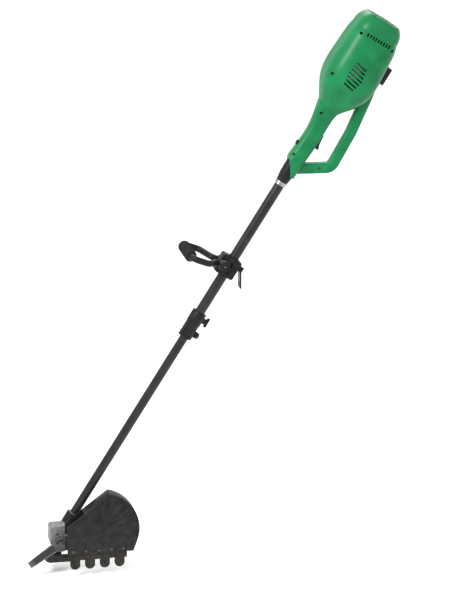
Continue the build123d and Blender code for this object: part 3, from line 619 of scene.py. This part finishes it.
def makeSleeve():
    # rubber sleeve on the crossbar: plain lands at its ends, raised rings between
    s = gripSleeve
    place = placed(barAcross, sideways, upShaft)
    h, i, o = s["half"], s["inner"], s["outer"]
    rubber = finish["black_rubber"]
    profile = [(-h, i), (-h, o - 0.8), (-h + 0.5, o), (-h + 2, o + 0.8), (-h + 2.6, o),
               (h - 2.6, o), (h - 2, o + 0.8), (h - 0.5, o), (h, o - 0.8), (h, i)]
    body = turned("sleeveBody", place, profile)
    keepPiece(body, "sleeveBody", rubber, "loop", "black_rubber", "loop_grip")
    start = place @ Matrix.Translation((0, 0, -(s["ribs"] - 1) / 2 * s["pitch"] * mm))
    rings = ringRow("sleeveRings", rubber, start, s["ribs"], s["pitch"], s["ribRadius"], s["ribThick"])
    keepPiece(rings, "sleeveRings", rubber, "loop", "black_rubber")


makeSleeve()
collar = {"start": 1038.0, "end": 1048.0, "inner": 12.5, "outer": 14.0, "proud": 0.3, "groove": 0.2,
          "chamfer": 0.4}


def makeCollar():
    # bright ring below the nose, with two turned grooves
    a, b, i, o = collar["start"], collar["end"], collar["inner"], collar["outer"]
    top = o + collar["proud"]
    low = o - collar["groove"]
    edge = o - collar["chamfer"]
    profile = [(a, i), (a, edge), (a + 0.5, top), (a + 3, top), (a + 3.3, low), (a + 3.9, low),
               (a + 4.2, top), (b - 4.2, top), (b - 3.9, low), (b - 3.3, low), (b - 3, top),
               (b - 0.5, top), (b, edge), (b, i)]
    ring = turned("collarGrooved", placed(spindle, upShaft, sideways), profile)
    keepPiece(ring, "collarGrooved", collarSilver, bodyOf["collar_ring"], "zinc_steel", "collar_ring")


makeCollar()
springs = {"plungerAt": (612, 0, -21.7), "plungerTurns": 5.5, "plungerRadius": 4.3, "plungerHeight": 6.5,
           "plungerWire": 0.62, "triggerAt": (1203, -8.2, -15), "triggerTurns": 2.6, "triggerRadius": 3.6,
           "triggerHeight": 1.9, "triggerWire": 0.5}


def makeSprings():
    # the plunger's coil, and the trigger's coil, which stays round its pin
    p = springs
    ground = finish["ground_steel"]
    zinc = finish["zinc_steel"]
    foot = toolPoint(*p["plungerAt"])
    place = placed(foot, frontSide, sideways)
    sizes = (p["plungerTurns"], p["plungerRadius"], p["plungerHeight"], p["plungerWire"])
    wound = coil("plungerCoil", ground, place, *sizes)
    piece = keepPiece(wound, "plungerCoil", ground, rootBody, "ground_steel", "plunger_spring")
    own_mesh(piece)
    place = placed(toolPoint(*p["triggerAt"]), sideways, upShaft)
    sizes = (p["triggerTurns"], p["triggerRadius"], p["triggerHeight"], p["triggerWire"])
    wound = coil("triggerCoil", zinc, place, *sizes)
    keepPiece(wound, "triggerCoil", zinc, rootBody, "zinc_steel", "trigger_spring")


makeSprings()
spindleEnd = {"radius": 6.0, "core": 5.45, "threadFrom": -54.0, "threadTo": -46.4, "end": 14.0,
              "chamfer": 0.6, "turns": 6, "threadLength": 7.0, "crest": 0.34}


def makeSpindle():
    # plain shaft whose near end is threaded for the nut
    s = spindleEnd
    r, core, cut = s["radius"], s["core"], s["chamfer"]
    near, far = s["threadFrom"], s["end"]
    profile = [(near, 0.01), (near, core - cut), (near + cut, core), (s["threadTo"], core),
               (s["threadTo"], r), (far - cut, r), (far, r - cut), (far, 0.01)]
    shaft = turned("spindleTurned", placed(spindle, sideways, upShaft), profile)
    keepPiece(shaft, "spindleTurned", darkZinc, "blade_unit", "ground_steel", "output_spindle")
    start = placed(headPoint(0, near + 0.5, 0), sideways, upShaft)
    wound = coil("spindleThread", darkZinc, start, s["turns"], core + 0.2, s["threadLength"], s["crest"])
    keepPiece(wound, "spindleThread", darkZinc, "blade_unit", "ground_steel")


makeSpindle()
guard = {"middle": (98.0, 36.0), "radius": 95.0, "near": -64.0, "ribs": 7, "ribFrom": 34.0, "ribTo": 84.0,
         "firstRib": -12, "ribStep": 16, "ribWidth": 3.2, "ribHeight": 2.2, "rim": 1.5, "rimInset": 2.2,
         "rimSteps": 40, "rimFrom": -20.0, "rimSweep": 97.0, "shoulder": (14.2, 47.4), "foot": (14.2, -21.0)}


def makeGuardRibs():
    # moulded spokes and a thick lip on the guard's near face
    g = guard
    middleX, middleZ = g["middle"]
    hub = headPoint(middleX, g["near"] + 0.1, middleZ)
    place = Matrix.Translation(hub) @ Matrix.Rotation(math.pi / 2, 4, "X")
    length = g["ribTo"] - g["ribFrom"]
    radius = (g["ribFrom"] + g["ribTo"]) / 2
    bars = spokes("guardSpokes", guardPlastic, place, g["ribs"], g["firstRib"], g["ribStep"], radius, length,
                  g["ribWidth"], g["ribHeight"])
    keepPiece(bars, "guardSpokes", guardPlastic, rootBody, "black_plastic")
    face = g["near"] + 0.2
    reach = g["radius"] - g["rimInset"]
    path = []
    for i in range(g["rimSteps"] + 1):
        a = math.radians(g["rimFrom"] + g["rimSweep"] * i / g["rimSteps"])
        path.append(headPoint(middleX + reach * math.cos(a), face, middleZ + reach * math.sin(a)))
    for x, z in (g["shoulder"], g["foot"]):
        path.append(headPoint(x, face, z))
    lip = bead("guardLip", path, g["rim"])
    keepPiece(lip, "guardLip", guardPlastic, rootBody, "black_plastic")


makeGuardRibs()
coupling = {"start": 598.0, "rings": 3, "pitch": 3.2, "radius": 17.5, "thick": 0.55}
skidKnob = {"ribs": 5, "step": 72, "radius": 6.0, "length": 7.0, "width": 1.6, "height": 13.6, "lift": 1.5}


def makeCouplingRings():
    # grip rings on the sleeve below the lock pin's boss, and ribs round the skid's knob
    c = coupling
    k = skidKnob
    black = finish["black_plastic"]
    place = placed(toolPoint(c["start"], 0, 0), upShaft, sideways)
    rings = ringRow("couplingRings", black, place, c["rings"], c["pitch"], c["radius"], c["thick"])
    keepPiece(rings, "couplingRings", black, rootBody, "black_plastic")
    middle = Vector(joints["skid_knob_turn"]["pos_m"]) + sideways * k["lift"] * mm
    place = placed(middle, sideways, upShaft)
    ribs = spokes("skidKnobRibs", black, place, k["ribs"], 0, k["step"], k["radius"], k["length"], k["width"],
                  k["height"])
    keepPiece(ribs, "skidKnobRibs", black, "skid_hand_knob", "black_plastic")


makeCouplingRings()
flap = {"fingers": 4, "first": 13.0, "length": 148.0, "near": -61.4, "top": -42.0, "bottom": -58.0,
        "ribsEach": 3, "ribGap": 6.5, "ribWidth": 1.7}


def makeFlapRibs():
    # moulded ribs down each rubber finger
    f = flap
    pitch = f["length"] / f["fingers"]
    height = f["top"] - f["bottom"]
    sizes = {"count": f["fingers"] * f["ribsEach"], "pitch": pitch * mm, "gap": f["ribGap"] * mm,
             "height": height * mm, "width": f["ribWidth"] * mm}
    g = Grower("flapRibTree", sizes)
    each = float(f["ribsEach"])
    index = g.add("GeometryNodeInputIndex")[0]
    finger = g.math("FLOOR", g.math("DIVIDE", index, each))
    within = g.math("SUBTRACT", g.math("MODULO", index, each), (each - 1) / 2)
    x = g.math("MULTIPLY_ADD", finger, g.given["pitch"], g.math("MULTIPLY", within, g.given["gap"]))
    line = g.add("GeometryNodeMeshLine", {"Count": g.given["count"]})[0]
    spots = g.add("GeometryNodeSetPosition", {"Geometry": line, "Position": g.vector(x)})[0]
    rib = g.add("GeometryNodeMeshCylinder", {"Vertices": 12, "Radius": 0.5, "Depth": 1.0})[0]
    size = g.vector(g.given["width"], g.given["width"], g.given["height"])
    ribs = g.add("GeometryNodeInstanceOnPoints", {"Points": spots, "Instance": rib, "Scale": size})[0]
    middle = headPoint(f["first"] + pitch / 2, f["near"] - 0.1, (f["top"] + f["bottom"]) / 2)
    mesh = g.grow(ribs, flapRubber, Matrix.Translation(middle), "flapRibs")
    keepPiece(mesh, "flapRibs", flapRubber, rootBody, "black_rubber")


makeFlapRibs()
screen = {"station": 1493.0, "countX": 21, "countY": 21, "pitch": 3.6, "wire": 0.28}


def makeScreen():
    # dust screen inside the vented end cap
    s = screen
    steel = finish["black_steel"]
    place = placed(toolPoint(s["station"], 0, 0), upShaft, sideways)
    net = wireGrid("capScreen", steel, place, s["countX"], s["countY"], s["pitch"], s["wire"])
    keepPiece(net, "capScreen", steel, rootBody, "black_steel")


makeScreen()
ventShade = {"from": 1459.5, "to": 1472.0, "half": 52.0, "thick": 1.6}


def makeVentShade():
    # black web across the shells behind the rear vents: a dark sheet standing in for painted shade inside the
    # housing, so that no light shows through them
    b = ventShade
    bm = bmesh.new()
    size = Matrix.Diagonal(((b["to"] - b["from"]) * mm, b["thick"] * mm, 2 * b["half"] * mm, 1))
    middle = Matrix.Translation(((b["from"] + b["to"]) / 2 * mm, 0, 0))
    bmesh.ops.create_cube(bm, size=1, matrix=shaftFrame @ middle @ size)
    mesh = bpy.data.meshes.new("ventShadeSheet")
    bm.to_mesh(mesh)
    bm.free()
    keepPiece(mesh, "ventShadeSheet", finish["black_plastic"], rootBody, "black_plastic")


makeVentShade()
studio = {"floorDrop": 0.020, "floorSize": 60.0, "sky": 1.06, "azimuth": -12.0, "elevation": 18.0,
          "distance": 8.98, "lens": 220.0, "target": (0.4443, 0, 0.5883)}
lamps = {"keyLamp": {"place": (-2.2, -1.5, 2.4), "size": 1.3, "watts": 125},
         "fillLamp": {"place": (2.6, -1.8, 1.0), "size": 2.2, "watts": 10},
         "rimLamp": {"place": (0.6, 2.4, 2.2), "size": 1.4, "watts": 35}}


def makeStudio():
    # three soft lamps, a bright even sky, and a pale floor low enough to clear the skid when it is down
    bpy.ops.mesh.primitive_grid_add(x_subdivisions=2, y_subdivisions=2, size=studio["floorSize"])
    floor = bpy.context.object
    floor.name = "studioFloor"
    floor.location.z = cadBox[0][2] - studio["floorDrop"]
    n = Nodes("palePaper")
    at = n.add("TexCoord").outputs["Object"]
    tone = n.ramp(n.noise(at, 3.0, 2), [(0, (0.93, 0.93, 0.93)), (1, (0.955, 0.955, 0.955))])
    paint(floor, n.done(tone, 0.9, specular=0.1))
    world = bpy.data.worlds.new("studioSky")
    bpy.context.scene.world = world
    world.use_nodes = True
    sky = world.node_tree.nodes["Background"]
    sky.inputs["Color"].default_value = (1, 1, 1, 1)
    sky.inputs["Strength"].default_value = studio["sky"]
    middle = (Vector(cadBox[0]) + Vector(cadBox[1])) / 2
    for name, values in lamps.items():
        lamp = bpy.data.objects.new(name, bpy.data.lights.new(name, "AREA"))
        lamp.data.shape = "DISK"
        lamp.data.size = values["size"]
        lamp.data.energy = values["watts"]
        lamp.location = middle + Vector(values["place"])
        lamp.rotation_euler = (middle - lamp.location).to_track_quat("-Z", "Y").to_euler()
        bpy.context.scene.collection.objects.link(lamp)


def makeCamera():
    # the view turns about a point partly up the shaft
    a, e = math.radians(studio["azimuth"]), math.radians(studio["elevation"])
    back = Vector((math.sin(a) * math.cos(e), -math.cos(a) * math.cos(e), math.sin(e)))
    target = spindle + Vector(studio["target"])
    camera = bpy.data.objects.new("studioCamera", bpy.data.cameras.new("studioCamera"))
    camera.data.lens = studio["lens"]
    camera.location = target + back * studio["distance"]
    camera.rotation_euler = back.to_track_quat("Z", "Y").to_euler()
    bpy.context.scene.collection.objects.link(camera)
    bpy.context.scene.camera = camera


makeStudio()
makeCamera()
bpy.context.scene.view_settings.view_transform = "Standard"
print("studio ready")
